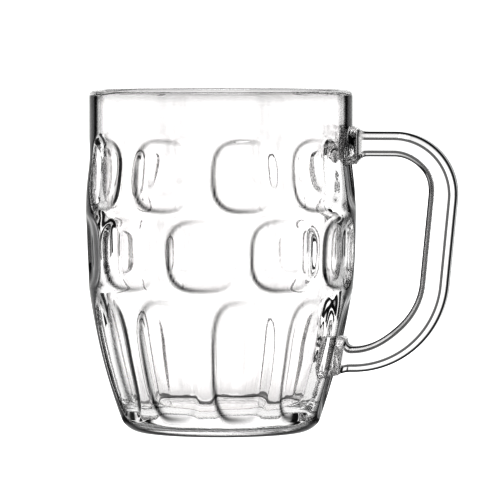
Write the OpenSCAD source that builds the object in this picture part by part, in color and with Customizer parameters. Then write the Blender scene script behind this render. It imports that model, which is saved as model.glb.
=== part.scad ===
// Dimpled glass beer mug: a pressed glass body with a separate pressed glass handle joined
// to it at two flat seats. The origin is the centre of the foot, +Z is up, and the handle
// reaches out along +X. Sizes are in millimetres.

/* [Body outline] */
// Outside radius of the belly, over the ridges between the dimples
belly_r = 48.3; // [47:0.1:50]
// Height at which the lower wall's curve meets the upright belly
belly_low_z = 72; // [68:0.5:76]
// Height of the upright belly
belly_h = 12.5; // [9:0.5:16]
// Height of the shoulder, over which the belly draws in to the neck
shoulder_h = 16.5; // [13:0.5:20]
// Height of the straight neck, up to the top of the rim
neck_h = 21; // [18:0.5:26]
// Radius of the curve of the lower wall, seen from the side
lower_wall_curve_r = 184; // [170:1:220]
// Radius of the round edge between the lower wall and the foot
heel_r = 8; // [6:0.25:10]
// Distance by which the straight neck under the rim stands in from the belly
neck_inset = 1.3; // [0.3:0.1:2.3]

/* [Glass thickness] */
// Thickness of the wall at the rim, which ends in a full round lip
rim_t = 4; // [3.4:0.1:4.6]
// Thickness of the bottom, on the axis
bottom_t = 8; // [6.5:0.25:11]
// Thickness of the wall at the belly, over the ridges between the dimples
belly_wall_t = 6.9; // [6.3:0.1:8.3]
// Height at which the inside starts to draw in towards the bottom
bore_low_z = 68; // [62:0.5:74]
// Radius of the curve of the lower inside wall, seen from the side
lower_bore_curve_r = 190; // [170:1:220]
// Radius of the round corner between the inside wall and the bottom
bore_corner_r = 7; // [5:0.25:9]

/* [Foot] */
// Radius of the hollow under the foot, inside the ring that the mug stands on
foot_hollow_r = 22; // [16:0.5:25]
// Height of that hollow on the axis
foot_hollow_h = 1.2; // [0.6:0.1:2]

/* [Dimples] */
// Dimples round each row
dimples_round = 10; // [9:1:11]
// Height of the middle of the top row
top_row_z = 92.6; // [91.5:0.1:94]
// Height of one dimple of the top row
top_row_h = 26; // [23:0.25:27]
// Angle that one dimple of the top row spans
top_row_span = 28; // [24:0.5:30]
// Height of the middle of the middle row
mid_row_z = 64.7; // [63.5:0.1:65.5]
// Height of one dimple of the middle row
mid_row_h = 25.4; // [23:0.2:26]
// Angle that one dimple of the middle row spans
mid_row_span = 31.5; // [28:0.5:32]
// Height of the middle of the row of tall panels
panel_z = 27.5; // [27:0.1:28.5]
// Height of one tall panel
panel_h = 43.6; // [40:0.2:44]
// Angle that one tall panel spans
panel_span = 29; // [26:0.5:31]
// Depth of every dimple and panel
dimple_deep = 2.4; // [1.9:0.1:2.6]
// Radius of the rounding at the upper and lower ends of a dimple
dimple_end_r = 14; // [10:0.5:18]
// Radius of the rounding at the upper and lower ends of a tall panel
panel_end_r = 9; // [7:0.5:11]

/* [Handle seats] */
// Height by which the flat of the upper seat stands out from the neck
upper_seat_rise = 2.3; // [2:0.1:3.5]
// Height of the middle of the upper seat
upper_seat_z = 102.3; // [101.5:0.1:103.5]
// Height of the upper seat
upper_seat_h = 13.2; // [12.8:0.1:15]
// Height by which the middle of the lower seat's flat stands out from the wall
lower_seat_rise = 1.1; // [0.6:0.1:2.2]
// Height of the middle of the lower seat
lower_seat_z = 27.3; // [26.5:0.1:28]
// Height of the lower seat, along its slope
lower_seat_h = 14; // [13.5:0.1:16]
// Lean of the lower seat's flat out of the upright
lower_seat_lean = 11; // [8:0.5:14]
// Width of both seats, across the handle
seat_w = 15.5; // [15:0.1:17]
// Radius of the seats' corners
seat_corner_r = 4; // [2.5:0.25:5]
// Step by which a seat stands out beyond the handle's foot all round
seat_step = 0.7; // [0.3:0.05:0.9]

/* [Handle] */
// Distance from the belly to the outside of the handle
handle_out = 36.5; // [32:0.1:41]
// Width of the handle's bar, seen from the side
bar_w = 9.4; // [8:0.1:10.2]
// Thickness of the handle's bar, across its plane
bar_t = 13; // [11:0.1:14]
// Height of the top of the handle's upper bar over the middle of its seat
upper_bar_rise = 5; // [4.5:0.1:5.5]
// Drop of the underside of the handle's lower bar under the middle of its seat
lower_bar_drop = 5.4; // [4.8:0.1:5.8]
// Radius of the upper bend, over its outside
upper_bend_r = 22.2; // [19:0.2:24]
// Radius of the lower bend, over its outside
lower_bend_r = 34; // [31:0.2:36]
// Length of the straight lower bar, from the lower bend to the middle of its seat
lower_bar_run = 4; // [3:0.1:6]
// Width of the bevel along the handle's outer edges, seen from the side
outer_bevel_w = 2.3; // [1.5:0.1:2.8]
// Width of the bevel along the handle's inner edges, seen from the side
inner_bevel_w = 1.5; // [1:0.1:2.4]
// Depth of both bevels, across the handle's plane
bevel_t = 3; // [2:0.1:4]
// Length over which the handle's ends flare out to their feet
flare_run = 3.2; // [2.6:0.1:4]

/* [Hidden] */
$fn = 96;

// Extra length by which a cut passes the face that it has to clear
overrun = 1;
// Angle at which a round corner meets its floor and its wall, so that each meeting is an edge
corner_kink = 6;
// Depth by which a dimple's bowed floor trims its rounded ends, so that they meet at an edge
dimple_trim = 0.05;
// Length by which the straight stretches of the handle's bar run on into its bends
lap = 1;
// Step by which those stretches are slimmer than the bends, so that they enter them cleanly
lap_step = 0.05;

glass_tint = [0.9, 0.95, 0.95, 0.45];
handle_tint = [0.8, 0.9, 0.95, 0.55];

belly_top_z = belly_low_z + belly_h;
neck_low_z = belly_top_z + shoulder_h;
mug_h = neck_low_z + neck_h;
neck_r = belly_r - neck_inset;
lip_r = rim_t / 2;
bore_belly_r = belly_r - belly_wall_t;
bore_neck_r = neck_r - rim_t;
lip_z = mug_h - lip_r;
row_pitch = 360 / dimples_round;
foot_hollow_curve_r = (foot_hollow_r * foot_hollow_r + foot_hollow_h * foot_hollow_h)
    / (2 * foot_hollow_h);

// Half the chord that a circle of radius r leaves at the depth deep inside its edge
function half_chord(r, deep) = sqrt(2 * r * deep - deep * deep);

// Drop of a circle of radius r below its own tangent, at the distance s along the tangent
function sag(r, s) = r - sqrt(r * r - s * s);

// Radius of the outside of the glass over the ridges, at height z
function wall_r(z) =
    z < belly_low_z ? belly_r - sag(lower_wall_curve_r, belly_low_z - z)
    : z < belly_top_z ? belly_r
    : z < neck_low_z ? belly_r + (neck_r - belly_r) * (z - belly_top_z) / (neck_low_z - belly_top_z)
    : neck_r;

// Radius of the inside of the glass at height z
function bore_r(z) =
    z < bore_low_z ? bore_belly_r - sag(lower_bore_curve_r, bore_low_z - z)
    : bore_belly_r + (bore_neck_r - bore_belly_r) * (z - bore_low_z) / (lip_z - bore_low_z);

// Distance from the axis to the middle of the glass that is left behind a dimple, at height z
function core_x(z) = (wall_r(z) - dimple_deep + bore_r(z)) / 2;

// Radius of the dish that is cut deep into a wall of radius r over the angle span
function dish_r(r, deep, span) =
    let (fall = deep - r * (1 - cos(span / 2)))
    fall > 0
    ? (fall * fall + pow(r * sin(span / 2), 2)) / (2 * fall)
    : lower_wall_curve_r;

// Part of a profile between two heights, out to the radius r and clear beyond it
module between(low, high, r) {
    intersection() {
        children();
        translate([0, low]) square([r + overrun, high - low]);
    }
}

// Half profile of a wall that is curved below curve_z and has the radius r there, with a
// round corner at floor_z
module curved_foot_plan(r, curve_z, curve_r, floor_z, corner_r) {
    corner_z = floor_z + corner_r * cos(corner_kink);
    apart = sqrt(pow(curve_r, 2) + pow(corner_r, 2) - 2 * curve_r * corner_r * cos(corner_kink));
    corner_x = r - curve_r + sqrt(pow(apart, 2) - pow(curve_z - corner_z, 2));
    meeting_z = corner_z - corner_r * (curve_z - corner_z) / apart;
    between(floor_z, curve_z, r)
        intersection() {
            translate([r - curve_r, curve_z]) circle(curve_r, $fn = 360);
            union() {
                translate([0, floor_z]) square([corner_x, curve_z]);
                translate([0, meeting_z]) square([r + overrun, curve_z]);
                translate([corner_x, corner_z]) circle(corner_r);
            }
        }
}

// Half profile of the mug as if it were solid, up to the start of the lip
module outside_plan() {
    curved_foot_plan(belly_r, belly_low_z, lower_wall_curve_r, 0, heel_r);
    polygon([
        [0, belly_low_z],
        [belly_r, belly_low_z],
        [belly_r, belly_top_z],
        [neck_r, neck_low_z],
        [neck_r, lip_z],
        [0, lip_z]
    ]);
}

// Half profile of the space inside, up to the height top
module inside_plan(top) {
    curved_foot_plan(bore_belly_r, bore_low_z, lower_bore_curve_r, bottom_t, bore_corner_r);
    polygon([
        [0, bore_low_z],
        [bore_belly_r, bore_low_z],
        [bore_neck_r, lip_z],
        [bore_neck_r, top],
        [0, top]
    ]);
}

// Half profile of the plain pressed glass, before its dimples
module glass_plan() {
    difference() {
        outside_plan();
        inside_plan(mug_h);
        translate([0, foot_hollow_h - foot_hollow_curve_r]) circle(foot_hollow_curve_r, $fn = 360);
    }
    translate([neck_r - lip_r, lip_z]) circle(lip_r);
}

// Side profile of the cutter for one dimple: upright, rounded at both ends, with its floor
// reach away from the line x = 0 and bowed by bow_r to follow the wall
module dimple_profile(high, deep, end_r, reach, bow_r) {
    flat = high / 2 - half_chord(end_r, deep);
    floor_x = reach + sag(bow_r, flat) + dimple_trim;
    back_x = reach - deep - overrun;
    difference() {
        union() {
            translate([back_x, -flat]) square([floor_x - back_x, 2 * flat]);
            for (side = [-1, 1]) {
                intersection() {
                    translate([floor_x - end_r, side * flat]) circle(end_r, $fn = 180);
                    translate([back_x, -high]) square([floor_x - back_x, 2 * high]);
                }
            }
        }
        translate([reach + bow_r, 0]) circle(bow_r, $fn = 720);
    }
}

// Cutter for one dimple on the +X side. It is a slice of a ring whose own axis stands
// outside the mug, parallel to the wall, so that it leaves a shallow dish.
module dimple(z, high, span, end_r) {
    low_r = wall_r(z - high / 2);
    high_r = wall_r(z + high / 2);
    lean = atan2(high_r - low_r, high);
    reach = dish_r(wall_r(z), dimple_deep, span);
    bow_r = lower_wall_curve_r - dimple_deep;
    half_angle = asin((max(low_r, high_r) * sin(span / 2) + overrun) / reach);
    translate([wall_r(z), 0, z])
        rotate([0, lean, 0])
        translate([reach - dimple_deep, 0, 0])
        rotate([0, 0, 180 - half_angle])
        rotate_extrude(angle = 2 * half_angle)
        dimple_profile(high, dimple_deep, end_r, reach, bow_r);
}

// A row of dimples, whose first one stands at the angle first
module dimple_row(first, z, high, span, end_r) {
    for (i = [0 : dimples_round - 1]) {
        rotate([0, 0, first + i * row_pitch]) dimple(z, high, span, end_r);
    }
}

upper_seat_x = neck_r + upper_seat_rise;
lower_seat_x = wall_r(lower_seat_z) + lower_seat_rise;

module upper_seat_frame() {
    translate([upper_seat_x, 0, upper_seat_z]) children();
}

module lower_seat_frame() {
    translate([lower_seat_x, 0, lower_seat_z]) rotate([0, lower_seat_lean, 0]) children();
}

// Rectangle with round corners, centred
module rounded_plate_plan(high, wide, corner_r) {
    square([high, wide - 2 * corner_r], center = true);
    square([high - 2 * corner_r, wide], center = true);
    for (x = [-1, 1], y = [-1, 1]) {
        translate([x * (high / 2 - corner_r), y * (wide / 2 - corner_r)]) circle(corner_r);
    }
}

// Raised flat on the body, from its face back into the wall
module seat(high, deep) {
    rotate([0, -90, 0]) linear_extrude(deep) rounded_plate_plan(high, seat_w, seat_corner_r);
}

module body() {
    color(glass_tint) {
        difference() {
            rotate_extrude() glass_plan();
            dimple_row(0, top_row_z, top_row_h, top_row_span, dimple_end_r);
            dimple_row(row_pitch / 2, mid_row_z, mid_row_h, mid_row_span, dimple_end_r);
            dimple_row(0, panel_z, panel_h, panel_span, panel_end_r);
        }
        upper_seat_frame() seat(upper_seat_h, upper_seat_x - core_x(upper_seat_z));
        lower_seat_frame()
            seat(lower_seat_h, (lower_seat_x - core_x(lower_seat_z)) * cos(lower_seat_lean));
    }
}

handle_reach = belly_r + handle_out;
bar_top_z = upper_seat_z + upper_bar_rise;
bar_bottom_z = lower_seat_z - lower_bar_drop;
bend_u_r = upper_bend_r - bar_w / 2;
bend_l_r = lower_bend_r - bar_w / 2;
bend_u = [handle_reach - upper_bend_r, bar_top_z - upper_bend_r];
bend_l = [lower_seat_x + lower_bar_run, bar_bottom_z + lower_bend_r];
bend_step = bend_u - bend_l;
grip_lean = acos((lower_bend_r - upper_bend_r) / norm(bend_step)) - atan2(bend_step[1], bend_step[0]);
grip_l = sqrt(pow(norm(bend_step), 2) - pow(lower_bend_r - upper_bend_r, 2));

// Section of the handle's bar, drawn in by step all round: +X is the side away from the
// mug's body
module bar_section(step) {
    out = bar_w / 2 - step;
    side = bar_t / 2 - step;
    polygon([
        [out, -side + bevel_t],
        [out, side - bevel_t],
        [out - outer_bevel_w, side],
        [inner_bevel_w - out, side],
        [-out, side - bevel_t],
        [-out, bevel_t - side],
        [inner_bevel_w - out, -side],
        [out - outer_bevel_w, -side]
    ]);
}

// Part of a bend round the point centre, from the angle from over the angle sweep
module bend(centre, r, from, sweep) {
    translate([centre[0], 0, centre[1]])
        rotate([90, 0, 0])
        rotate([0, 0, from])
        rotate_extrude(angle = sweep, $fn = 180)
        translate([r, 0]) bar_section(0);
}

module bar() {
    translate([bend_u[0] + lap, 0, bend_u[1] + bend_u_r])
        rotate([0, -90, 0])
        linear_extrude(bend_u[0] + lap - upper_seat_x) bar_section(lap_step);
    bend(bend_u, bend_u_r, -grip_lean, 90 + grip_lean);
    translate([bend_u[0] + bend_u_r * cos(grip_lean), 0, bend_u[1] - bend_u_r * sin(grip_lean)])
        rotate([0, grip_lean, 0])
        translate([0, 0, -grip_l - lap])
        linear_extrude(grip_l + 2 * lap) bar_section(lap_step);
    bend(bend_l, bend_l_r, -90, 90 - grip_lean);
    difference() {
        translate([bend_l[0] + lap, 0, bend_l[1] - bend_l_r])
            rotate([0, -90, 0])
            linear_extrude(lap + lower_bar_run + bar_w) mirror([1, 0]) bar_section(lap_step);
        lower_seat_frame() translate([-2 * lower_seat_h, -bar_t, -2 * lower_seat_h])
            cube([2 * lower_seat_h, 2 * bar_t, 4 * lower_seat_h]);
    }
}

// Side view of a flare from the bar's edges, at the heights low and high, out to the
// seat's edges
module flare_plan(low, high, seat_h) {
    edge = seat_h / 2;
    low_rise = edge + low;
    high_rise = edge - high;
    low_r = (flare_run * flare_run + low_rise * low_rise) / (2 * low_rise);
    high_r = (flare_run * flare_run + high_rise * high_rise) / (2 * high_rise);
    difference() {
        translate([0, -edge]) square([flare_run, seat_h]);
        translate([flare_run, low - low_r]) circle(low_r);
        translate([flare_run, high + high_r]) circle(high_r);
    }
}

// Foot of the handle: the flare, trimmed to stay inside the seat's edge all round
module foot(low, high, seat_h) {
    foot_h = seat_h - 2 * seat_step;
    foot_w = seat_w - 2 * seat_step;
    intersection() {
        translate([0, foot_w / 2, 0])
            rotate([90, 0, 0])
            linear_extrude(foot_w) flare_plan(low, high, seat_h);
        rotate([0, 90, 0])
            linear_extrude(flare_run) rounded_plate_plan(foot_h, foot_w, seat_corner_r - seat_step);
    }
}

module handle() {
    color(handle_tint) {
        bar();
        upper_seat_frame() foot(bar_top_z - bar_w - upper_seat_z, bar_top_z - upper_seat_z, upper_seat_h);
        lower_seat_frame() foot(bar_bottom_z - lower_seat_z, bar_bottom_z + bar_w - lower_seat_z, lower_seat_h);
    }
}

body();
handle();
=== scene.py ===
"""Dimpled glass beer mug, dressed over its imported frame, in a bright-field studio.

The mug is two pieces of clear glass: the cup, a turned blank with three rows of dimples
pressed in by a Geometry Nodes tree, and the looped handle on the cup's two raised seats.
Lengths are in millimetres until a mesh is made, in metres. Angles are in degrees.
"""

import logging
import math
from dataclasses import dataclass, field
from enum import Enum
from typing import Any

import bmesh
import bpy
import numpy as np
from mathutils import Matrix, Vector


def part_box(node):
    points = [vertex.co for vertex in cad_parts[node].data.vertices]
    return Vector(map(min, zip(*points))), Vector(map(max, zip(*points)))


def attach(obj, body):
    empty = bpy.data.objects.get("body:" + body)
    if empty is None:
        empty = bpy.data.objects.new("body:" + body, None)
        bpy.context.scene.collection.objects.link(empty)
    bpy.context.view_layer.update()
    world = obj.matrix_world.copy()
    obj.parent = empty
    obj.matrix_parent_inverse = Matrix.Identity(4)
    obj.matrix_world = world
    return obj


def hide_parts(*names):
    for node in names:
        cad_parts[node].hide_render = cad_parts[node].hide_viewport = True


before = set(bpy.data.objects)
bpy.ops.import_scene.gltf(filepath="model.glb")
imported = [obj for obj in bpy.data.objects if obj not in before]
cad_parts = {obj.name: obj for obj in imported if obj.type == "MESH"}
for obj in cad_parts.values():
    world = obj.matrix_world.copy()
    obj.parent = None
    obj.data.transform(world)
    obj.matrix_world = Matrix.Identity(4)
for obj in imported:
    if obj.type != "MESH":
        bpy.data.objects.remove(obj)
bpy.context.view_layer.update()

MM = 0.001
DEGREES = 180 / math.pi
BODY = "root"
UPPER_SEAT_OUT = 1.0
LOWER_SEAT_IN = 4.413
SIDE_CORNERS = 4
COLOUR_A, COLOUR_B, COLOUR_OUT = 6, 7, 2
VALUE_A, VALUE_B = 2, 3
log = logging.getLogger("mug")

Point = tuple[float, float]
Colour = tuple[float, float, float, float]
Stops = tuple[Point, ...]
Faces = list[tuple[int, ...]]
Lines = tuple[tuple[Any, ...], ...]
Material, Mesh, Object = bpy.types.Material, bpy.types.Mesh, bpy.types.Object
Node, Tree = bpy.types.Node, bpy.types.NodeTree


class Way(Enum):
    """Which way a socket of a node group faces."""

    IN = "INPUT"
    OUT = "OUTPUT"


def linear(code: str) -> Colour:
    """Turn an sRGB hex colour into Blender's linear colour.

    Args:
        code: The colour as #RRGGBB.

    Returns:
        Red, green, blue and a full alpha, linear.
    """
    parts = [int(code[i : i + 2], 16) / 255 for i in (1, 3, 5)]
    lin = [c / 12.92 if c <= 0.04045 else ((c + 0.055) / 1.055) ** 2.4 for c in parts]
    return (lin[0], lin[1], lin[2], 1.0)


def empty_tree(owner: Material | bpy.types.World) -> Tree:
    """Give a material or world an empty node tree.

    Args:
        owner: The material or the world.

    Returns:
        Its tree, without nodes.
    """
    owner.use_nodes = True
    owner.node_tree.nodes.clear()
    return owner.node_tree


def add_node(tree: Tree, kind: str, links: dict[Any, Any] | None = None, **settings: Any) -> Node:
    """Add one node with its settings, values and incoming links.

    Args:
        tree: The tree that gets the node.
        kind: The node's type name.
        links: Socket index or name, to a value or to the socket that feeds it.
        settings: Properties of the node itself.

    Returns:
        The new node.
    """
    node = tree.nodes.new(kind)
    for name, value in settings.items():
        setattr(node, name, value)
    for key, value in (links or {}).items():
        if isinstance(value, bpy.types.NodeSocket):
            tree.links.new(value, node.inputs[key])
        else:
            node.inputs[key].default_value = value
    return node


def add_sockets(tree: Tree, way: Way, kind: str, *names: str) -> None:
    """Add sockets of one kind to the outside of a node group."""
    for name in names:
        tree.interface.new_socket(name, in_out=way.value, socket_type=f"NodeSocket{kind}")


def write_formula(tree: Tree, known: dict[str, Any], lines: Lines) -> None:
    """Write a formula as a chain of Math nodes.

    Args:
        tree: The tree that gets the nodes.
        known: Sockets or numbers by name, to which every line's result is added.
        lines: Each line is the name of its result, the operation, and its operands.
    """
    for name, operation, *operands in lines:
        links = {i: known.get(o, o) if isinstance(o, str) else o for i, o in enumerate(operands)}
        known[name] = add_node(tree, "ShaderNodeMath", links, operation=operation).outputs[0]


def sag(radius: float, along: float) -> float:
    """Drop of a circle below its own tangent, at a distance along the tangent."""
    return radius - math.sqrt(radius * radius - along * along)


def smooth(t: Any) -> Any:
    """Rise from 0 to 1 over a share from 0 to 1, level at both ends."""
    return t * t * (3 - 2 * t)


def unit(angle: float) -> np.ndarray:
    """Unit vector at an angle in degrees from a plane's first axis."""
    return np.array([math.cos(math.radians(angle)), math.sin(math.radians(angle))])


def arc(centre: Point, radius: float, start: float, end: float, steps: int) -> list[Point]:
    """List points on an arc, both ends included.

    Args:
        centre: The arc's centre.
        radius: The arc's radius.
        start: Angle of the first point.
        end: Angle of the last point.
        steps: Number of equal steps.

    Returns:
        The points, in order.
    """
    angles = [math.radians(start + (end - start) * i / steps) for i in range(steps + 1)]
    return [(centre[0] + radius * math.cos(a), centre[1] + radius * math.sin(a)) for a in angles]


def make_mesh(
    name: str, verts: np.ndarray, faces: Faces, flat: frozenset[int] = frozenset()
) -> Object:
    """Make a closed mesh object at the origin, with its faces outwards.

    Args:
        name: Name of the object and its mesh.
        verts: Corners in millimetres, one row each.
        faces: Corner numbers of each face.
        flat: Numbers of the faces that are shaded flat.

    Returns:
        The new object, linked to the scene.
    """
    mesh = bpy.data.meshes.new(name)
    mesh.from_pydata((verts * MM).tolist(), [], faces)
    for polygon in mesh.polygons:
        polygon.use_smooth = polygon.index not in flat
    work = bmesh.new()
    work.from_mesh(mesh)
    bmesh.ops.recalc_face_normals(work, faces=work.faces)
    work.to_mesh(mesh)
    work.free()
    obj = bpy.data.objects.new(name, mesh)
    bpy.context.scene.collection.objects.link(obj)
    return obj


def read_layer(mesh: Mesh, name: str) -> np.ndarray:
    """Read a layer of one number per corner.

    Args:
        mesh: The mesh that has the layer.
        name: The layer's name.

    Returns:
        The numbers, in the order of the corners.
    """
    values = np.zeros(len(mesh.vertices))
    mesh.attributes[name].data.foreach_get("value", values)
    return values


def write_layer(mesh: Mesh, name: str, values: Any) -> None:
    """Write a layer of one number per corner, made if it isn't there."""
    layer = mesh.attributes.get(name) or mesh.attributes.new(name, "FLOAT", "POINT")
    layer.data.foreach_set("value", values)


@dataclass(frozen=True)
class PressedGlass:
    """Clear soda-lime glass, pressed in a mould and fire-polished.

    It has shallow waves and a faint tint. Its edges carry painted shade: dark lines where one
    layer marks them, seen from outside only, and a painted shade on the outside at a slant,
    where a second layer allows it, in place of the dark that thick glass shows against a
    bright field. The ring that the mug stands on is rubbed a little dull.
    """

    name: str
    clear_hex: str = "#FEFEFE"
    deep_hex: str = "#FAF9F9"
    # Colours of the painted edge shade lines and of the painted shade at a slant.
    painted_edge_shade_hex: str = "#101112"
    painted_slant_shade_hex: str = "#0C0C0D"
    ior: float = 1.5
    wave_mm: float = 11.0
    wave_deep_mm: float = 0.05
    wave_detail: float = 1.0
    wave_roughness: float = 0.4
    tint_mm: float = 45.0
    tint_detail: float = 2.0
    graze_blend: float = 0.5
    graze_from: float = 0.52
    graze_to: float = 0.70
    wear_top_mm: float = 0.35
    wear_roughness: float = 0.22

    def material(self) -> Material:
        """Build the glass.

        Returns:
            The material.
        """
        made = bpy.data.materials.new(self.name)
        tree = empty_tree(made)
        place = add_node(tree, "ShaderNodeTexCoord").outputs["Object"]
        waves = {"Vector": place, "Scale": 1 / (self.wave_mm * MM)}
        waves |= {"Detail": self.wave_detail, "Roughness": self.wave_roughness}
        wave = add_node(tree, "ShaderNodeTexNoise", waves)
        relief = {"Height": wave.outputs["Fac"], "Distance": self.wave_deep_mm * MM}
        bump = add_node(tree, "ShaderNodeBump", relief)
        drifts = {"Vector": place, "Scale": 1 / (self.tint_mm * MM), "Detail": self.tint_detail}
        drift = add_node(tree, "ShaderNodeTexNoise", drifts)
        slant = add_node(tree, "ShaderNodeLayerWeight", {"Blend": self.graze_blend})
        slants = {"Value": slant.outputs["Facing"]}
        slants |= {"From Min": self.graze_from, "From Max": self.graze_to}
        graze = add_node(tree, "ShaderNodeMapRange", slants, interpolation_type="SMOOTHSTEP")
        known = {"graze": graze.outputs[0]}
        known["inside"] = add_node(tree, "ShaderNodeNewGeometry").outputs["Backfacing"]
        # Layers of the painted edge shade lines and of where the painted slant shade falls.
        for name in ("painted_edge_shade", "slant_shade_mask"):
            layer = add_node(tree, "ShaderNodeAttribute", attribute_name=name)
            known[name] = layer.outputs["Fac"]
        lines = (
            ("outside", "SUBTRACT", 1.0, "inside"),
            ("line", "MULTIPLY", "painted_edge_shade", "outside"),
            ("shade", "MULTIPLY", "graze", "slant_shade_mask"),
        )
        write_formula(tree, known, lines)
        # Faint random tint, then painted shade lines on the edges, then painted shade at a slant.
        tones = (
            (drift.outputs["Fac"], self.deep_hex),
            (known["line"], self.painted_edge_shade_hex),
            (known["shade"], self.painted_slant_shade_hex),
        )
        colour: Any = linear(self.clear_hex)
        for share, code in tones:
            sockets = {0: share, COLOUR_A: colour, COLOUR_B: linear(code)}
            mix = add_node(tree, "ShaderNodeMix", sockets, data_type="RGBA")
            colour = mix.outputs[COLOUR_OUT]
        wear = {
            "Value": add_node(tree, "ShaderNodeSeparateXYZ", {0: place}).outputs["Z"],
            "From Max": self.wear_top_mm * MM,
            "To Min": self.wear_roughness,
            "To Max": 0.0,
        }
        worn = add_node(tree, "ShaderNodeMapRange", wear)
        finish = {
            "Base Color": colour,
            "Roughness": worn.outputs[0],
            "Normal": bump.outputs[0],
            "Transmission Weight": 1.0,
            "IOR": self.ior,
        }
        glass = add_node(tree, "ShaderNodeBsdfPrincipled", finish)
        add_node(tree, "ShaderNodeOutputMaterial", {"Surface": glass.outputs[0]})
        return made


@dataclass(frozen=True)
class DimpleRow:
    """One row of dimples, as the mould's plungers leave it.

    The squareness of an outline's upper and lower half is 2 for an ellipse, more for a box.
    """

    label: str
    middle_z: float
    high: float
    span: float
    squareness: Point
    first: float = 0.0
    deep: float = 2.4
    softness: float = 0.15

    def sizes(self) -> dict[str, float]:
        """Sizes of the row by name, in metres and radians."""
        return {
            "Height": self.middle_z * MM,
            "Dimple Height": self.high * MM,
            "Span": math.radians(self.span),
            "Depth": self.deep * MM,
            "First Angle": math.radians(self.first),
            "Top Squareness": self.squareness[0],
            "Foot Squareness": self.squareness[1],
            "Softness": self.softness,
        }


ROW_FORMULA: Lines = (
    ("pitch", "DIVIDE", 2 * math.pi, "Count"),
    ("half pitch", "MULTIPLY", "pitch", 0.5),
    ("minus half", "MULTIPLY", "pitch", -0.5),
    ("turned", "SUBTRACT", "Angle", "First Angle"),
    ("local", "WRAP", "turned", "half pitch", "minus half"),
    ("half span", "MULTIPLY", "Span", 0.5),
    ("across", "DIVIDE", "local", "half span"),
    ("half high", "MULTIPLY", "Dimple Height", 0.5),
    ("above", "SUBTRACT", "Level", "Height"),
    ("along", "DIVIDE", "above", "half high"),
    ("is top", "GREATER_THAN", "along", 0.0),
    ("more", "SUBTRACT", "Top Squareness", "Foot Squareness"),
    ("power", "MULTIPLY_ADD", "is top", "more", "Foot Squareness"),
    ("across size", "ABSOLUTE", "across"),
    ("along size", "ABSOLUTE", "along"),
    ("across power", "POWER", "across size", "power"),
    ("along power", "POWER", "along size", "power"),
    ("total", "ADD", "across power", "along power"),
    ("root", "DIVIDE", 1.0, "power"),
    ("out", "POWER", "total", "root"),
    ("bowl", "POWER", "out", "bowl_power"),
    ("hollow", "SUBTRACT", 1.0, "bowl"),
    ("scaled", "DIVIDE", "hollow", "Softness"),
    ("capped", "MINIMUM", "scaled", "exponent_cap"),
    ("raised", "EXPONENT", "capped"),
    ("plus one", "ADD", "raised", 1.0),
    ("log", "LOGARITHM", "plus one", math.e),
    ("soft", "MULTIPLY", "log", "Softness"),
    ("pressed", "MULTIPLY", "soft", "Depth"),
    # The lines from here draw the painted shade line along a dimple's edge, darker on one side.
    ("off edge", "SUBTRACT", "out", "shade_line_at"),
    ("edge share", "DIVIDE", "off edge", "shade_line_wide"),
    ("edge square", "MULTIPLY", "edge share", "edge share"),
    ("edge minus", "MULTIPLY", "edge square", -1.0),
    ("edge line", "EXPONENT", "edge minus"),
    ("behind", "MULTIPLY_ADD", "along", "shade_line_tip", "across"),
    ("side", "MULTIPLY_ADD", "behind", "shade_line_lean", "shade_line_base"),
    ("side share", "MAXIMUM", "side", 0.0),
    ("painted_edge_shade", "MULTIPLY", "edge line", "side share"),
)


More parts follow.
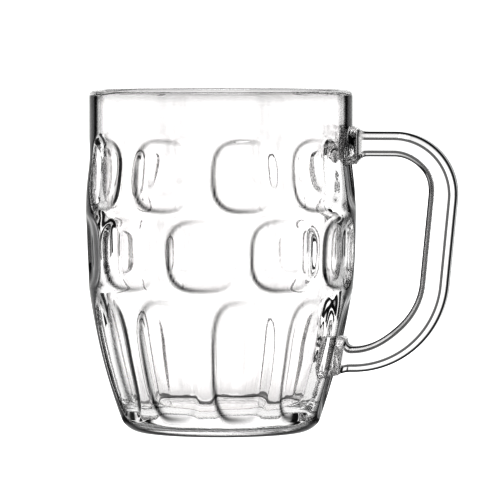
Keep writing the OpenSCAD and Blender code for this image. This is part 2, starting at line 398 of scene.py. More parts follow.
@dataclass
class DimplePress:
    """Presses rows of dimples into a turned blank with Geometry Nodes.

    It also writes a layer of painted shade: a dark line along each dimple's edge, its
    painted shade strongest on the side that the lean and tip fields point to. ROW_FORMULA uses
    the fields by name.
    """

    rows: tuple[DimpleRow, ...]
    count: int = 10
    bowl_power: float = 4.0
    exponent_cap: float = 60.0
    # Where and how wide the painted shade line lies at a dimple's edge, and which side it darkens.
    shade_line_at: float = 0.955
    shade_line_wide: float = 0.06
    shade_line_base: float = 0.4
    shade_line_lean: float = -0.6
    shade_line_tip: float = 0.4

    def row_group(self) -> Tree:
        """Build the group that works out one row's depth and its painted edge shade.

        Returns:
            The group, with an input for every size of the row.
        """
        group = bpy.data.node_groups.new("one row of dimples", "GeometryNodeTree")
        names = ("Angle", "Level", "Count", *self.rows[0].sizes())
        add_sockets(group, Way.IN, "Float", *names)
        add_sockets(group, Way.OUT, "Float", "Pressed", "Painted Shade")
        sizes = add_node(group, "NodeGroupInput")
        known = vars(self) | {name: sizes.outputs[name] for name in names}
        write_formula(group, known, ROW_FORMULA)
        add_node(group, "NodeGroupOutput", {0: known["pressed"], 1: known["painted_edge_shade"]})
        return group

    def tree(self) -> Tree:
        """Build the tree that presses every row.

        Returns:
            The tree, with its inputs named by row.
        """
        tree = bpy.data.node_groups.new("dimple press", "GeometryNodeTree")
        add_sockets(tree, Way.IN, "Geometry", "Blank")
        add_sockets(tree, Way.IN, "Material", "Glass")
        add_sockets(tree, Way.IN, "Float", "Count")
        for row in self.rows:
            add_sockets(tree, Way.IN, "Float", *(f"{row.label} {name}" for name in row.sizes()))
        add_sockets(tree, Way.OUT, "Geometry", "Pressed Glass")
        given = add_node(tree, "NodeGroupInput")
        place = add_node(tree, "GeometryNodeInputPosition").outputs[0]
        parts = add_node(tree, "ShaderNodeSeparateXYZ", {0: place})
        known: dict[str, Any] = dict(zip("xyz", parts.outputs))
        write_formula(tree, known, (("angle", "ARCTAN2", "y", "x"),))
        group = self.row_group()
        known["deep"], known["painted_edge_shade"] = 0.0, 0.0
        for row in self.rows:
            feeds = {"Angle": known["angle"], "Level": known["z"], "Count": given.outputs["Count"]}
            feeds |= {name: given.outputs[f"{row.label} {name}"] for name in row.sizes()}
            one = add_node(tree, "GeometryNodeGroup", feeds, node_tree=group)
            known |= {"row deep": one.outputs["Pressed"], "row painted shade": one.outputs["Painted Shade"]}
            lines = (
                ("deep", "MAXIMUM", "deep", "row deep"),
                ("painted_edge_shade", "MAXIMUM", "painted_edge_shade", "row painted shade"),
            )
            write_formula(tree, known, lines)
        named = {"Name": "press_reach"}
        reach = add_node(tree, "GeometryNodeInputNamedAttribute", named, data_type="FLOAT")
        known["reach"] = reach.outputs["Attribute"]
        lines = (
            ("deep", "MULTIPLY", "deep", "reach"),
            ("inwards", "MULTIPLY", "deep", -1.0),
            ("painted_edge_shade", "MULTIPLY", "painted_edge_shade", "reach"),
        )
        write_formula(tree, known, lines)
        flat = add_node(tree, "ShaderNodeCombineXYZ", {0: known["x"], 1: known["y"]})
        level = {0: flat.outputs[0]}
        outward = add_node(tree, "ShaderNodeVectorMath", level, operation="NORMALIZE")
        push = {0: outward.outputs[0], "Scale": known["inwards"]}
        shift = add_node(tree, "ShaderNodeVectorMath", push, operation="SCALE")
        # Store the painted edge shade as a layer on the corners.
        layer = {"Geometry": given.outputs["Blank"], "Name": "painted_edge_shade", "Value": known["painted_edge_shade"]}
        kept = add_node(tree, "GeometryNodeStoreNamedAttribute", layer, data_type="FLOAT")
        moved = {"Geometry": kept.outputs[0], "Offset": shift.outputs[0]}
        pressed = add_node(tree, "GeometryNodeSetPosition", moved)
        real = add_node(tree, "GeometryNodeRealizeInstances", {0: pressed.outputs[0]})
        dressed = {"Geometry": real.outputs[0], "Material": given.outputs["Glass"]}
        glazed = add_node(tree, "GeometryNodeSetMaterial", dressed)
        add_node(tree, "NodeGroupOutput", {0: glazed.outputs[0]})
        return tree

    def press(self, blank: Object, glass: Material) -> None:
        """Press the rows into the blank and keep the result as its plain mesh.

        Args:
            blank: The turned blank, with the layer press_reach.
            glass: The material of the pressed glass.
        """
        modifier = blank.modifiers.new("dimples", "NODES")
        modifier.node_group = self.tree()
        values: dict[str, Any] = {"Glass": glass, "Count": float(self.count)}
        for row in self.rows:
            values |= {f"{row.label} {name}": size for name, size in row.sizes().items()}
        for item in modifier.node_group.interface.items_tree:
            if item.name in values:
                modifier[item.identifier] = values[item.name]
        graph = bpy.context.evaluated_depsgraph_get()
        pressed = bpy.data.meshes.new_from_object(
            blank.evaluated_get(graph), preserve_all_data_layers=True, depsgraph=graph
        )
        blank.modifiers.clear()
        blank.data = pressed


@dataclass(frozen=True)
class Seat:
    """Raised flat on the cup that carries one end of the handle.

    The flat falls softly to the wall, from soft_in inside its outline to soft_out outside.
    """

    middle: Point
    high: float
    wide: float
    lean: float
    corner_r: float = 4.0
    foot_step: float = 0.7
    soft_in: float = 0.15
    soft_out: float = 0.4

    @property
    def foot_low(self) -> float:
        """Height of the lower edge of the handle's foot."""
        return self.middle[1] - self.high / 2 + self.foot_step

    @property
    def foot_top(self) -> float:
        """Height of the upper edge of the handle's foot."""
        return self.middle[1] + self.high / 2 - self.foot_step

    @property
    def foot_half(self) -> float:
        """Half the width of the handle's foot."""
        return self.wide / 2 - self.foot_step

    def level_x(self, z: Any) -> Any:
        """Distance from the mug's axis to the seat's flat, at the height z."""
        return self.middle[0] + (z - self.middle[1]) * math.tan(math.radians(self.lean))

    def raise_on(self, verts: np.ndarray, reach: np.ndarray) -> np.ndarray:
        """Raise the cup's wall to the seat's flat.

        Args:
            verts: Corners of the cup in millimetres, which are changed.
            reach: 1 for a corner outside the wall, 0 for any other.

        Returns:
            How far each corner is raised, from 0 to 1.
        """
        slope = math.radians(self.lean)
        up = (verts[:, 2] - self.middle[1]) / math.cos(slope)
        core_high = np.abs(up) - (self.high / 2 - self.corner_r)
        core_wide = np.abs(verts[:, 1]) - (self.wide / 2 - self.corner_r)
        outside = np.hypot(np.maximum(core_high, 0), np.maximum(core_wide, 0))
        inside = np.minimum(np.maximum(core_high, core_wide), 0)
        distance = outside + inside - self.corner_r
        t = np.clip((self.soft_out - distance) / (self.soft_out + self.soft_in), 0, 1)
        weight = smooth(t) * reach * (verts[:, 0] > 0)
        verts[:, 0] += weight * (self.level_x(verts[:, 2]) - verts[:, 0])
        return weight


@dataclass
class Cup:
    """The pressed cup: turned blank, three rows of dimples and the two seats.

    The lines are shares of the painted shade tone on the lip, round the heel and at the floor.
    """

    belly_r: float
    mug_h: float
    upper_seat: Seat
    lower_seat: Seat
    rows: tuple[DimpleRow, ...]
    neck_inset: float = 1.3
    neck_shares: Point = (0.33, 0.66)
    belly_low_z: float = 72.0
    belly_top_z: float = 84.5
    neck_low_z: float = 101.0
    wall_curve_r: float = 184.0
    heel_r: float = 8.0
    rim_t: float = 4.0
    bottom_t: float = 8.0
    belly_wall_t: float = 6.9
    bore_low_z: float = 68.0
    bore_curve_r: float = 190.0
    bore_corner_r: float = 7.0
    bore_power: float = 1.3
    hollow_r: float = 22.0
    hollow_h: float = 1.2
    pressed_top_z: float = 110.0
    fine_step: float = 0.64
    seat_step: float = 0.42
    plain_step: float = 5.0
    segments: int = 376
    seat_segments: int = 56
    seat_half_angle: float = 11.0
    lip_steps: int = 14
    corner_steps: int = 12
    hollow_steps: int = 8
    floor_shares: tuple[float, ...] = (0.75, 0.5, 0.25, 0.0)
    lip_line: float = 0.35
    heel_line: float = 0.75
    heel_up: int = 9
    floor_line: float = 0.9
    floor_back: int = 4
    profile: list[Point] = field(default_factory=list)
    reach: list[float] = field(default_factory=list)
    lip_top: int = 0
    heel_edge: int = 0
    floor_edge: int = 0

    @property
    def neck_r(self) -> float:
        """Outside radius of the neck."""
        return self.belly_r - self.neck_inset

    def wall_r(self, z: float) -> float:
        """Outside radius over the ridges, with a soft shoulder.

        Args:
            z: The height.

        Returns:
            The radius.
        """
        if z < self.belly_low_z:
            return self.belly_r - sag(self.wall_curve_r, self.belly_low_z - z)
        t = min(max((z - self.belly_top_z) / (self.neck_low_z - self.belly_top_z), 0.0), 1.0)
        return self.belly_r - self.neck_inset * smooth(t)

    def bore_r(self, z: float) -> float:
        """Inside radius.

        Args:
            z: The height.

        Returns:
            The radius.
        """
        at_belly = self.belly_r - self.belly_wall_t
        if z < self.bore_low_z:
            return at_belly - sag(self.bore_curve_r, self.bore_low_z - z)
        lip_z = self.mug_h - self.rim_t / 2
        t = (z - self.bore_low_z) / (lip_z - self.bore_low_z)
        return at_belly + (self.neck_r - self.rim_t - at_belly) * t**self.bore_power

    def corner(
        self, r: float, curve_z: float, curve_r: float, floor_z: float, corner_r: float
    ) -> tuple[Point, float]:
        """Find the round corner between a floor and the curved wall above it.

        Args:
            r: Radius of the wall at curve_z.
            curve_z: Height at which the wall's curve starts.
            curve_r: Radius of the wall's curve.
            floor_z: Height of the floor.
            corner_r: Radius of the corner.

        Returns:
            The corner's centre, and the angle below the level at which it meets the wall.
        """
        drop = curve_z - floor_z - corner_r
        across = math.sqrt((curve_r - corner_r) ** 2 - drop**2)
        angle = math.degrees(math.asin(drop / (curve_r - corner_r)))
        return (r - curve_r + across, floor_z + corner_r), angle

    def run(self, points: list[Point], reach: float) -> None:
        """Add points to the profile, with how far the mould presses them."""
        self.profile += points
        self.reach += [reach] * len(points)

    def draw_foot(self) -> float:
        """Draw the profile from the foot's middle to the heel's top.

        Returns:
            The height of the heel's top.
        """
        hollow_curve_r = (self.hollow_r**2 + self.hollow_h**2) / (2 * self.hollow_h)
        hollow = [self.hollow_r * (i + 1) / self.hollow_steps for i in range(self.hollow_steps)]
        self.run([(0.0, self.hollow_h)], 0.0)
        self.run([(r, self.hollow_h - sag(hollow_curve_r, r)) for r in hollow], 0.0)
        self.run([(self.hollow_r + self.rim_t / 2, 0.0)], 0.0)
        wall = (self.belly_r, self.belly_low_z, self.wall_curve_r)
        heel, angle = self.corner(*wall, 0.0, self.heel_r)
        points = arc(heel, self.heel_r, -90.0, -angle, self.corner_steps)
        self.heel_edge = len(self.profile) + self.heel_up
        self.run(points, 1.0)
        return points[-1][1]

    def draw_wall(self, z: float) -> None:
        """Draw the profile from the top of the heel over the lip.

        Args:
            z: The height of the heel's top.
        """
        lip_r = self.rim_t / 2
        lip_z = self.mug_h - lip_r
        seats = (self.upper_seat, self.lower_seat)
        while z < self.pressed_top_z:
            at_seat = any(abs(z - s.middle[1]) < s.high / 2 + s.foot_step for s in seats)
            z += self.seat_step if at_seat else self.fine_step
            self.run([(self.wall_r(z), z)], 1.0)
        self.run([(self.neck_r, z + (lip_z - z) * share) for share in self.neck_shares], 0.0)
        self.lip_top = len(self.profile) + self.lip_steps // 2
        self.run(arc((self.neck_r - lip_r, lip_z), lip_r, 0.0, 180.0, self.lip_steps), 0.0)

    def draw_bore(self) -> None:
        """Draw the profile from inside the lip to the middle of the floor."""
        lip_z = self.mug_h - self.rim_t / 2
        wall = (self.belly_r - self.belly_wall_t, self.bore_low_z, self.bore_curve_r)
        fillet, angle = self.corner(*wall, self.bottom_t, self.bore_corner_r)
        points = arc(fillet, self.bore_corner_r, -angle, -90.0, self.corner_steps)
        low_z = points[0][1]
        plain = int((lip_z - low_z) / self.plain_step)
        levels = [lip_z + (low_z - lip_z) * (i + 1) / (plain + 1) for i in range(plain)]
        self.run([(self.bore_r(level), level) for level in levels], 0.0)
        self.run(points, 0.0)
        self.floor_edge = len(self.profile) - self.floor_back
        self.run([(fillet[0] * share, self.bottom_t) for share in self.floor_shares], 0.0)

    def turn_blank(self) -> Object:
        """Turn the profile round the mug's axis.

        Returns:
            The closed blank, with the layer press_reach and the layer that masks the painted slant
            shade.
        """
        ring = self.profile[1:-1]
        half = math.radians(self.seat_half_angle)
        plain = self.segments - self.seat_segments
        at_seats = np.linspace(-half, half, self.seat_segments, endpoint=False)
        elsewhere = np.linspace(half, 2 * math.pi - half, plain, endpoint=False)
        angles = np.concatenate([at_seats, elsewhere])
        radii, levels = np.array(ring).T
        x, y = np.outer(radii, np.cos(angles)), np.outer(radii, np.sin(angles))
        z = np.outer(levels, np.ones(self.segments))
        verts = np.stack([x, y, z], -1).reshape(-1, 3)
        poles = np.array([[0.0, 0.0, self.profile[end][1]] for end in (0, -1)])
        n, last = self.segments, len(ring) - 1
        foot_pole, floor_pole = len(verts), len(verts) + 1
        faces: Faces = []
        for i in range(n):
            j = (i + 1) % n
            faces.append((foot_pole, j, i))
            for k in range(last):
                low, high = k * n, (k + 1) * n
                faces.append((low + i, low + j, high + j, high + i))
            faces.append((last * n + i, last * n + j, floor_pole))
        blank = make_mesh("cup", np.vstack([verts, poles]), faces)
        outer = np.arange(1, last + 2) <= self.lip_top - self.lip_steps // 2
        reach = np.concatenate([np.repeat(self.reach[1:-1], n), [0.0, 0.0]])
        # The painted slant shade falls on the outer wall and the foot, not in the bore.
        slant_shade_share = np.concatenate([np.repeat(outer.astype(float), n), [1.0, 0.0]])
        write_layer(blank.data, "press_reach", reach)
        write_layer(blank.data, "slant_shade_mask", slant_shade_share)
        return blank

    def draw_lines(self, mesh: Mesh) -> None:
        """Add painted shade lines on the lip, round the heel and at the floor to the edge shade
        layer.

        Args:
            mesh: The pressed cup's mesh.
        """
        painted_edge_shade = read_layer(mesh, "painted_edge_shade")
        half_lip = self.lip_steps // 2
        lines = (
            (self.lip_top - half_lip, self.lip_top + half_lip, self.lip_line),
            (self.floor_edge - 1, self.floor_edge, self.floor_line),
            (self.heel_edge, self.heel_edge, self.heel_line),
        )
        for first, last, share in lines:
            painted_edge_shade[(first - 1) * self.segments : last * self.segments] = share
        write_layer(mesh, "painted_edge_shade", painted_edge_shade)

    def build(self, glass: Material) -> Object:
        """Build the finished cup.

        Args:
            glass: Its material.

        Returns:
            The cup, riding on the frame.
        """
        self.draw_wall(self.draw_foot())
        self.draw_bore()
        cup = self.turn_blank()
        DimplePress(self.rows).press(cup, glass)
        mesh = cup.data
        verts = np.zeros(len(mesh.vertices) * 3)
        mesh.vertices.foreach_get("co", verts)
        verts = verts.reshape(-1, 3) / MM
        reach, slant_shade_share = read_layer(mesh, "press_reach"), read_layer(mesh, "slant_shade_mask")
        # The painted slant shade is taken off where the seats are raised.
        for seat in (self.upper_seat, self.lower_seat):
            slant_shade_share *= 1 - seat.raise_on(verts, reach)
        write_layer(mesh, "slant_shade_mask", slant_shade_share)
        mesh.vertices.foreach_set("co", (verts * MM).ravel())
        mesh.attributes.remove(mesh.attributes["press_reach"])
        self.draw_lines(mesh)
        mesh.update()
        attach(cup, BODY)
        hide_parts("body")
        log.info("cup: %d faces, %d rings", len(mesh.polygons), len(self.profile))
        return cup


@dataclass(frozen=True)
class Station:
    """One place on the handle's path, with the bar's direction and width there.

    Near a foot the bar grows outwards, inwards and to each side, and takes on the tilt, a
    share of the lower seat's lean.
    """

    place: np.ndarray
    heading: float
    width: float
    grow: tuple[float, ...] = (0.0, 0.0, 0.0)
    tilt: float = 0.0


@dataclass
class Handle:
    """The looped handle: a bevelled bar swept along its path, flared at both feet.

    The painted shade line of an edge fades out beside it, more widely on the bevels
    (rim_line) than on the flats (edge_line); joint_line is its share at each foot.
    """

    upper_seat: Seat
    lower_seat: Seat
    reach_x: float
    outer_half: float = 4.7
    thick: float = 13.0
    top_z: float = 107.3
    foot_z: float = 21.9
    upper_bend_r: float = 22.2
    lower_bend_r: float = 34.0
    lower_run: float = 4.0
    outer_bevel: float = 2.3
    inner_bevel: float = 1.5
    bevel_deep: float = 3.0
    edge_r: float = 0.7
    edge_steps: int = 4
    flare_run: float = 3.4
    edge_line: Point = (0.05, 0.35)
    rim_line: Point = (0.45, 1.3)
    edge_share: float = 0.88
    joint_line: tuple[float, ...] = (0.6, 1.0, 0.3)
    joint_gap: float = 0.03
    turn_step: float = 2.5
    straight_step: float = 1.6
    spread_power: float = 1.6
    upper_widths: tuple[float, ...] = (8.7, 9.1, 10.0)
    lower_widths: tuple[float, ...] = (10.0, 10.3, 8.9)

    def section(self, out: float, inner: float, half_t: float) -> np.ndarray:
        """Draw the bar's section with rounded edges and the ends of their lines.

        Args:
            out: Distance from the path to the outer face.
            inner: Distance from the path to the inner face.
            half_t: Half the thickness across the handle's plane.

        Returns:
            Points as rows of distance outwards and distance across, in order.
        """
        flank = half_t - self.bevel_deep
        sides = (out - self.outer_bevel, self.inner_bevel - inner)
        right = [(out, flank), (sides[0], half_t), (sides[1], half_t), (-inner, flank)]
        corners = [Vector(p) for p in right + [(u, -t) for u, t in reversed(right)]]
        points = []
        for i, corner in enumerate(corners):
            before = (corners[i - 1] - corner).normalized()
            after = (corners[(i + 1) % len(corners)] - corner).normalized()
            half = before.angle(after) / 2
            centre = corner + (before + after).normalized() * (self.edge_r / math.sin(half))
            tangent = self.edge_r / math.tan(half)
            start, end = (corner + way * tangent - centre for way in (before, after))
            fade_in = self.rim_line if i % SIDE_CORNERS == SIDE_CORNERS - 1 else self.edge_line
            fade_out = self.rim_line if i % SIDE_CORNERS == 0 else self.edge_line
            points += [corner + before * (tangent + far) for far in reversed(fade_in)]
            for step in range(self.edge_steps + 1):
                share = step / self.edge_steps
                spoke = (start * (1 - share) + end * share).normalized()
                points.append(centre + spoke * self.edge_r)
            points += [corner + after * (tangent + far) for far in fade_out]
        return np.array(points)

    def flare(self, away: float, rise: float) -> float:
        """Growth of the bar's edge at a distance from the seat, where it grows by rise."""
        along = max(self.flare_run - away, 0.0)
        return sag((self.flare_run**2 + rise**2) / (2 * rise), along)

    def spread(self, low: float, high: float) -> list[float]:
        """Places from a foot to a bend, closest where it flares."""
        steps = max(int((high - low) / self.straight_step), self.edge_steps * 2)
        return [low + (high - low) * (i / steps) ** self.spread_power for i in range(steps + 1)]

    @staticmethod
    def blend(start: float, middle: float, end: float, share: float) -> float:
        """Width that runs softly from start over middle to end."""
        low, high, t = (start, middle, share * 2) if share < 0.5 else (middle, end, share * 2 - 1)
        return low + (high - low) * smooth(t)

    def bend(
        self, centre: np.ndarray, bend_r: float, ends: Point, widths: tuple[float, ...]
    ) -> list[Station]:
        """List the stations round a bend, both ends included.

        Args:
            centre: The bend's centre in the handle's plane.
            bend_r: Radius of the bend's outer face.
            ends: Angles of the first and the last station, seen from the centre.
            widths: Width of the bar at the bend's start, middle and end.

        Returns:
            The stations, in order.
        """
        start, end = ends
        turns = int(abs(end - start) / self.turn_step)
        found = []
        for i in range(turns + 1):
            angle = start + (end - start) * i / turns
            place = centre + (bend_r - self.outer_half) * unit(angle)
            found.append(Station(place, angle - 90, self.blend(*widths, i / turns)))
        return found

    def upper_foot(self, bend_x: float) -> list[Station]:
        """List the stations from the upper seat to the upper bend.

        Args:
            bend_x: Where the bend starts.

        Returns:
            The stations, in order.
        """
        seat, width = self.upper_seat, self.upper_widths[0]
        bar_z = self.top_z - self.outer_half
        rises = (
            seat.foot_top - self.top_z,
            bar_z - (width - self.outer_half) - seat.foot_low,
            seat.foot_half - self.thick / 2,
        )
        found = []
        for x in self.spread(seat.middle[0] + self.joint_gap, bend_x):
            grow = tuple(self.flare(x - seat.middle[0], rise) for rise in rises)
            found.append(Station(np.array([x, bar_z]), 0.0, width, grow))
        return found

    def lower_foot(self, bend_x: float) -> list[Station]:
        """List the stations from the lower bend to the lower seat.

        Args:
            bend_x: Where the bend ends.

        Returns:
            The stations, in order.
        """
        seat, width = self.lower_seat, self.lower_widths[-1]
        bar_z = self.foot_z + self.outer_half
        rises = (
            self.foot_z - seat.foot_low,
            seat.foot_top - (self.foot_z + width),
            seat.foot_half - self.thick / 2,
        )
        seat_x = float(seat.level_x(bar_z)) + self.joint_gap
        found = []
        for x in reversed(self.spread(seat_x, bend_x)[:-1]):
            grow = tuple(self.flare(x - seat_x, max(rise, self.edge_r / 2)) for rise in rises)
            tilt = (bend_x - x) / (bend_x - seat_x)
            found.append(Station(np.array([x, bar_z]), -180.0, width, grow, tilt))
        return found

    def stations(self) -> list[Station]:
        """List the path's stations from the upper seat to the lower one.

        Returns:
            The stations, in order.
        """
        upper_c = np.array([self.reach_x - self.upper_bend_r, self.top_z - self.upper_bend_r])
        lower_x = self.lower_seat.middle[0] + self.lower_run
        lower_c = np.array([lower_x, self.foot_z + self.lower_bend_r])
        step = upper_c - lower_c
        apart = float(np.hypot(*step))
        slope = math.atan2(step[1], step[0])
        lean = math.degrees(math.acos((self.lower_bend_r - self.upper_bend_r) / apart) - slope)
        upper_bend = self.bend(upper_c, self.upper_bend_r, (90.0, -lean), self.upper_widths)
        lower_bend = self.bend(lower_c, self.lower_bend_r, (-lean, -90.0), self.lower_widths)
        start, end = upper_bend[-1].place, lower_bend[0].place
        parts = int(np.hypot(*(end - start)) / self.straight_step)
        places = [start + (end - start) * i / parts for i in range(1, parts)]
        grip = [Station(place, -lean - 90, self.lower_widths[0]) for place in places]
        upper = self.upper_foot(upper_c[0]) + upper_bend[1:]
        return upper + grip + lower_bend + self.lower_foot(lower_c[0])

    def ring(self, station: Station) -> np.ndarray:
        """Place the bar's section at one station.

        Args:
            station: The station.

        Returns:
            The section's corners in millimetres, one row each.
        """
        outwards, inwards, sideways = station.grow
        inner = station.width - self.outer_half + inwards
        outline = self.section(self.outer_half + outwards, inner, self.thick / 2 + sideways)
        along = unit(station.heading)
        ring = np.zeros((len(outline), 3))
        ring[:, [0, 2]] = station.place + outline[:, :1] * np.array([-along[1], along[0]])
        ring[:, 1] = outline[:, 1]
        seat = self.lower_seat
        ring[:, 0] += station.tilt * (seat.level_x(ring[:, 2]) - seat.level_x(station.place[1]))
        return ring

    def draw_lines(self, handle: Object, around: int, count: int) -> None:
        """Write the layers of painted shade: edge lines and joints, and the outside's slant shade.

        Args:
            handle: The handle.
            around: Number of corners round the bar.
            count: Number of stations.
        """
        per_corner = self.edge_steps + 1 + 2 * len(self.edge_line)
        line = []
        for i in range(around):
            corner, place = divmod(i, per_corner)
            at_face = corner % SIDE_CORNERS in (0, SIDE_CORNERS - 1)
            share = 1.0 if at_face else self.edge_share
            line.append(share * (0 < place < per_corner - 1))
        # Painted shade lines at both feet, and no painted slant shade on the end rings.
        foot = [share for share in self.joint_line for _ in range(around)]
        painted_edge_shade = foot + line * (count - 2 * len(self.joint_line)) + foot[::-1]
        slant_shade_share = [0.0] * around + [1.0] * (around * (count - 2)) + [0.0] * around
        write_layer(handle.data, "painted_edge_shade", painted_edge_shade)
        write_layer(handle.data, "slant_shade_mask", slant_shade_share)

    def build(self, glass: Material) -> Object:
        """Build the finished handle.

        Args:
            glass: Its material.

        Returns:
            The handle, riding on the frame.
        """
        rings = [self.ring(station) for station in self.stations()]
        around, last = len(rings[0]), len(rings) - 1
        faces: Faces = []
        for k in range(last):
            low, high = k * around, (k + 1) * around
            for i in range(around):
                j = (i + 1) % around
                faces.append((low + i, low + j, high + j, high + i))
        caps = frozenset({len(faces), len(faces) + 1})
        faces += [tuple(range(around)), tuple(range(last * around, (last + 1) * around))]
        handle = make_mesh("handle_loop", np.vstack(rings), faces, caps)
        self.draw_lines(handle, around, len(rings))
        handle.data.materials.append(glass)
        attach(handle, BODY)
        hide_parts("handle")
        log.info("handle: %d faces, %d stations", len(faces), len(rings))
        return handle


@dataclass
class Studio:
    """Bright-field studio: white paper round the mug, dark cards to its sides.

    The camera sees plain white. Only the glass sees the cards, fixed in the room, and the
    shade round the foot. Lengths here are in metres. A stop is an angle or a length, and
    the brightness there.
    """

    heading: float
    paper_hex: str = "#FFFFFF"
    paper_r: float = 1.5
    paper_sides: int = 96
    paper_far_r: float = 0.4
    # Glow of the paper by distance from the axis, with a painted contact shadow in a ring under
    # the foot.
    paper_glow_and_shadow_stops: Stops = (
        (0.0, 0.9), (0.036, 0.85), (0.041, 0.3), (0.047, 0.3), (0.051, 0.8), (0.4, 1.0),
    )
    room_gain: float = 0.95
    stripe_period: float = 90.0
    card_stops: Stops = (
        (31.0, 1.0), (34.0, 0.6), (36.0, 0.0), (41.0, 0.0), (43.0, 0.9), (45.0, 1.0),
    )
    height_stops: Stops = (
        (-90.0, 0.0), (-40.0, 0.0), (-30.0, 0.4), (-24.0, 1.0),
        (30.0, 1.0), (45.0, 0.6), (60.0, 0.35), (90.0, 0.8),
    )
    lamp_size: float = 0.5
    lamp_watts: float = 1.5
    lamp_z: float = 1.2
    view_transform: str = "Standard"
    look: str = "Medium High Contrast"
    gamma: float = 0.44
    bounces: int = 18

    def ramp(self, tree: Tree, value: Any, low: float, high: float, stops: Stops) -> Any:
        """Add a ramp of brightness over a range of angles or lengths.

        Args:
            tree: The tree of the room or of the paper.
            value: The socket with the angle or the length.
            low: Value at the ramp's start.
            high: Value at the ramp's end.
            stops: Value and brightness of each stop.

        Returns:
            The socket with the brightness.
        """
        span = {"Value": value, "From Min": low, "From Max": high}
        share = add_node(tree, "ShaderNodeMapRange", span)
        node = add_node(tree, "ShaderNodeValToRGB", {0: share.outputs[0]})
        elements = node.color_ramp.elements
        elements.remove(elements[-1])
        for i, (place, light) in enumerate(stops):
            position = (place - low) / (high - low)
            element = elements[0] if i == 0 else elements.new(position)
            element.position = position
            element.color = (light, light, light, 1.0)
        return node.outputs[0]

    def white_to_camera(self, tree: Tree, light: Any) -> Any:
        """Show plain white to the camera, and the given light to the glass.

        Args:
            tree: The tree of the room or of the paper.
            light: The socket with the brightness for the glass.

        Returns:
            The socket with the strength.
        """
        seen = add_node(tree, "ShaderNodeLightPath").outputs["Is Camera Ray"]
        sockets = {0: seen, VALUE_A: light, VALUE_B: 1.0}
        return add_node(tree, "ShaderNodeMix", sockets, data_type="FLOAT").outputs[0]

    def light_room(self) -> None:
        """Light the room with stripes round the mug, times a ramp over the height."""
        world = bpy.data.worlds.new("bright-field room")
        bpy.context.scene.world = world
        tree = empty_tree(world)
        towards = add_node(tree, "ShaderNodeTexCoord").outputs["Generated"]
        parts = add_node(tree, "ShaderNodeSeparateXYZ", {0: towards})
        known: dict[str, Any] = dict(zip("xyz", parts.outputs))
        half = self.stripe_period / 2
        lines = (
            ("around", "ARCTAN2", "y", "x"),
            ("degrees", "MULTIPLY", "around", -DEGREES),
            ("from axis", "ADD", "degrees", self.heading),
            ("folded", "WRAP", "from axis", half, -half),
            ("up", "ARCSINE", "z"),
            ("height", "MULTIPLY", "up", DEGREES),
        )
        write_formula(tree, known, lines)
        left = tuple((-angle, light) for angle, light in reversed(self.card_stops))
        cards = left + self.card_stops
        known["across"] = self.ramp(tree, known["folded"], -half, half, cards)
        known["along"] = self.ramp(tree, known["height"], -90.0, 90.0, self.height_stops)
        lines = (
            ("both", "MULTIPLY", "across", "along"),
            ("room", "MULTIPLY", "both", self.room_gain),
        )
        write_formula(tree, known, lines)
        strength = self.white_to_camera(tree, known["room"])
        light = {"Color": linear(self.paper_hex), "Strength": strength}
        shown = add_node(tree, "ShaderNodeBackground", light)
        add_node(tree, "ShaderNodeOutputWorld", {"Surface": shown.outputs[0]})

    def paper(self) -> Material:
        """Build the floor's matt white paper, lit from below as on a light table, with a painted
        contact shadow round the foot.

        Returns:
            The material.
        """
        made = bpy.data.materials.new("white studio paper")
        tree = empty_tree(made)
        place = add_node(tree, "ShaderNodeTexCoord").outputs["Object"]
        away = add_node(tree, "ShaderNodeVectorMath", {0: place}, operation="LENGTH")
        lit = self.ramp(tree, away.outputs["Value"], 0.0, self.paper_far_r, self.paper_glow_and_shadow_stops)
        light = {"Color": linear(self.paper_hex), "Strength": self.white_to_camera(tree, lit)}
        glow = add_node(tree, "ShaderNodeEmission", light)
        add_node(tree, "ShaderNodeOutputMaterial", {"Surface": glow.outputs[0]})
        return made

    def lay_floor(self) -> None:
        """Lay the round paper under the mug."""
        bpy.ops.mesh.primitive_circle_add(
            vertices=self.paper_sides, radius=self.paper_r, fill_type="NGON"
        )
        floor = bpy.context.object
        floor.name = "studio_floor"
        floor.data.materials.append(self.paper())

    def hang_lamp(self) -> None:
        """Hang one soft box over the mug."""
        lamp = bpy.data.lights.new("top soft box", "AREA")
        lamp.size = self.lamp_size
        lamp.energy = self.lamp_watts
        holder = bpy.data.objects.new("top soft box", lamp)
        holder.location = (0.0, 0.0, self.lamp_z)
        bpy.context.scene.collection.objects.link(holder)

    def build(self) -> None:
        """Set up the studio, with the contrast and bounces that glass needs."""
        self.light_room()
        self.lay_floor()
        self.hang_lamp()
        scene = bpy.context.scene
        view, cycles = scene.view_settings, scene.cycles
        view.view_transform, view.look, view.gamma = self.view_transform, self.look, self.gamma
        cycles.max_bounces = cycles.transmission_bounces = self.bounces
        cycles.glossy_bounces = self.bounces
        cycles.use_denoising = True
        log.info("studio: floor and soft light")


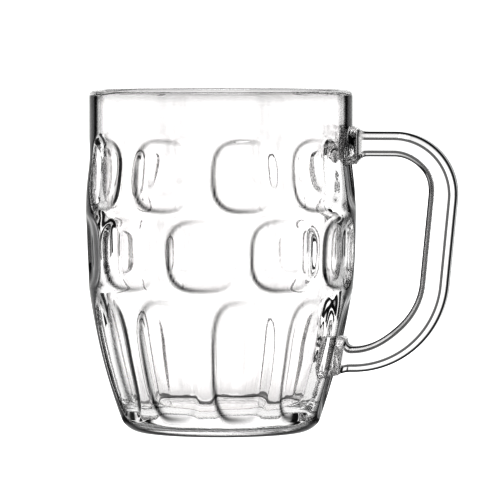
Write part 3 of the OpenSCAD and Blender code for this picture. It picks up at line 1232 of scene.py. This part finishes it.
@dataclass
class PhotoCamera:
    """Camera at the photograph's angle, from places in its pixels."""

    heading: float
    mm_per_pixel: float = 0.3572
    axis_px: float = 221.0
    foot_px: float = 431.5
    middle_px: float = 250.0
    frame_px: float = 500.0
    distance_px: float = 5500.0
    elevation: float = 2.6
    sensor_mm: float = 36.0
    clip_end_m: float = 100.0

    def build(self) -> None:
        """Place the camera and make it the scene's."""
        scale = self.mm_per_pixel * MM
        turn, rise = math.radians(self.heading), math.radians(self.elevation)
        level = math.cos(rise)
        away = Vector((-math.cos(turn) * level, -math.sin(turn) * level, math.sin(rise)))
        right = Vector((math.sin(turn), -math.cos(turn), 0.0))
        target = right * ((self.middle_px - self.axis_px) * scale)
        target.z = (self.foot_px - self.middle_px) * scale
        data = bpy.data.cameras.new("photo camera")
        data.sensor_width = self.sensor_mm
        data.lens = self.sensor_mm * self.distance_px / self.frame_px
        data.clip_end = self.clip_end_m
        camera = bpy.data.objects.new("photo camera", data)
        bpy.context.scene.collection.objects.link(camera)
        camera.location = target + away * (self.distance_px * scale)
        camera.rotation_mode = "QUATERNION"
        camera.rotation_quaternion = (-away).to_track_quat("-Z", "Y")
        bpy.context.scene.camera = camera
        log.info("camera: %.2f m away", self.distance_px * scale)


def main() -> None:
    """Build the mug, its studio and its camera."""
    logging.basicConfig(level=logging.INFO, format="%(name)s: %(message)s")
    _, body_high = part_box("body")
    _, handle_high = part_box("handle")
    belly_r = body_high.y / MM
    rows = (
        DimpleRow("Top Row", 92.6, high=26.0, span=28.4, squareness=(2.8, 2.8)),
        DimpleRow("Middle Row", 64.7, high=25.5, span=31.6, squareness=(3.0, 3.0), first=18.0),
        DimpleRow("Panel Row", 27.5, high=43.8, span=29.0, squareness=(3.2, 3.6)),
    )
    upper_seat = Seat((belly_r + UPPER_SEAT_OUT, 102.3), high=13.2, wide=15.5, lean=0.0)
    lower_seat = Seat((belly_r - LOWER_SEAT_IN, 27.3), high=14.0, wide=15.5, lean=11.0)
    cup_glass = PressedGlass("pressed soda-lime glass, fire-polished")
    handle_glass = PressedGlass("drawn soda-lime glass, fire-polished", wave_mm=14.0)
    cup = Cup(belly_r, round(body_high.z / MM, 1), upper_seat, lower_seat, rows)
    cup.build(cup_glass.material())
    Handle(upper_seat, lower_seat, handle_high.x / MM).build(handle_glass.material())
    camera = PhotoCamera(heading=97.5)
    Studio(camera.heading).build()
    camera.build()


if __name__ == "__main__":
    main()
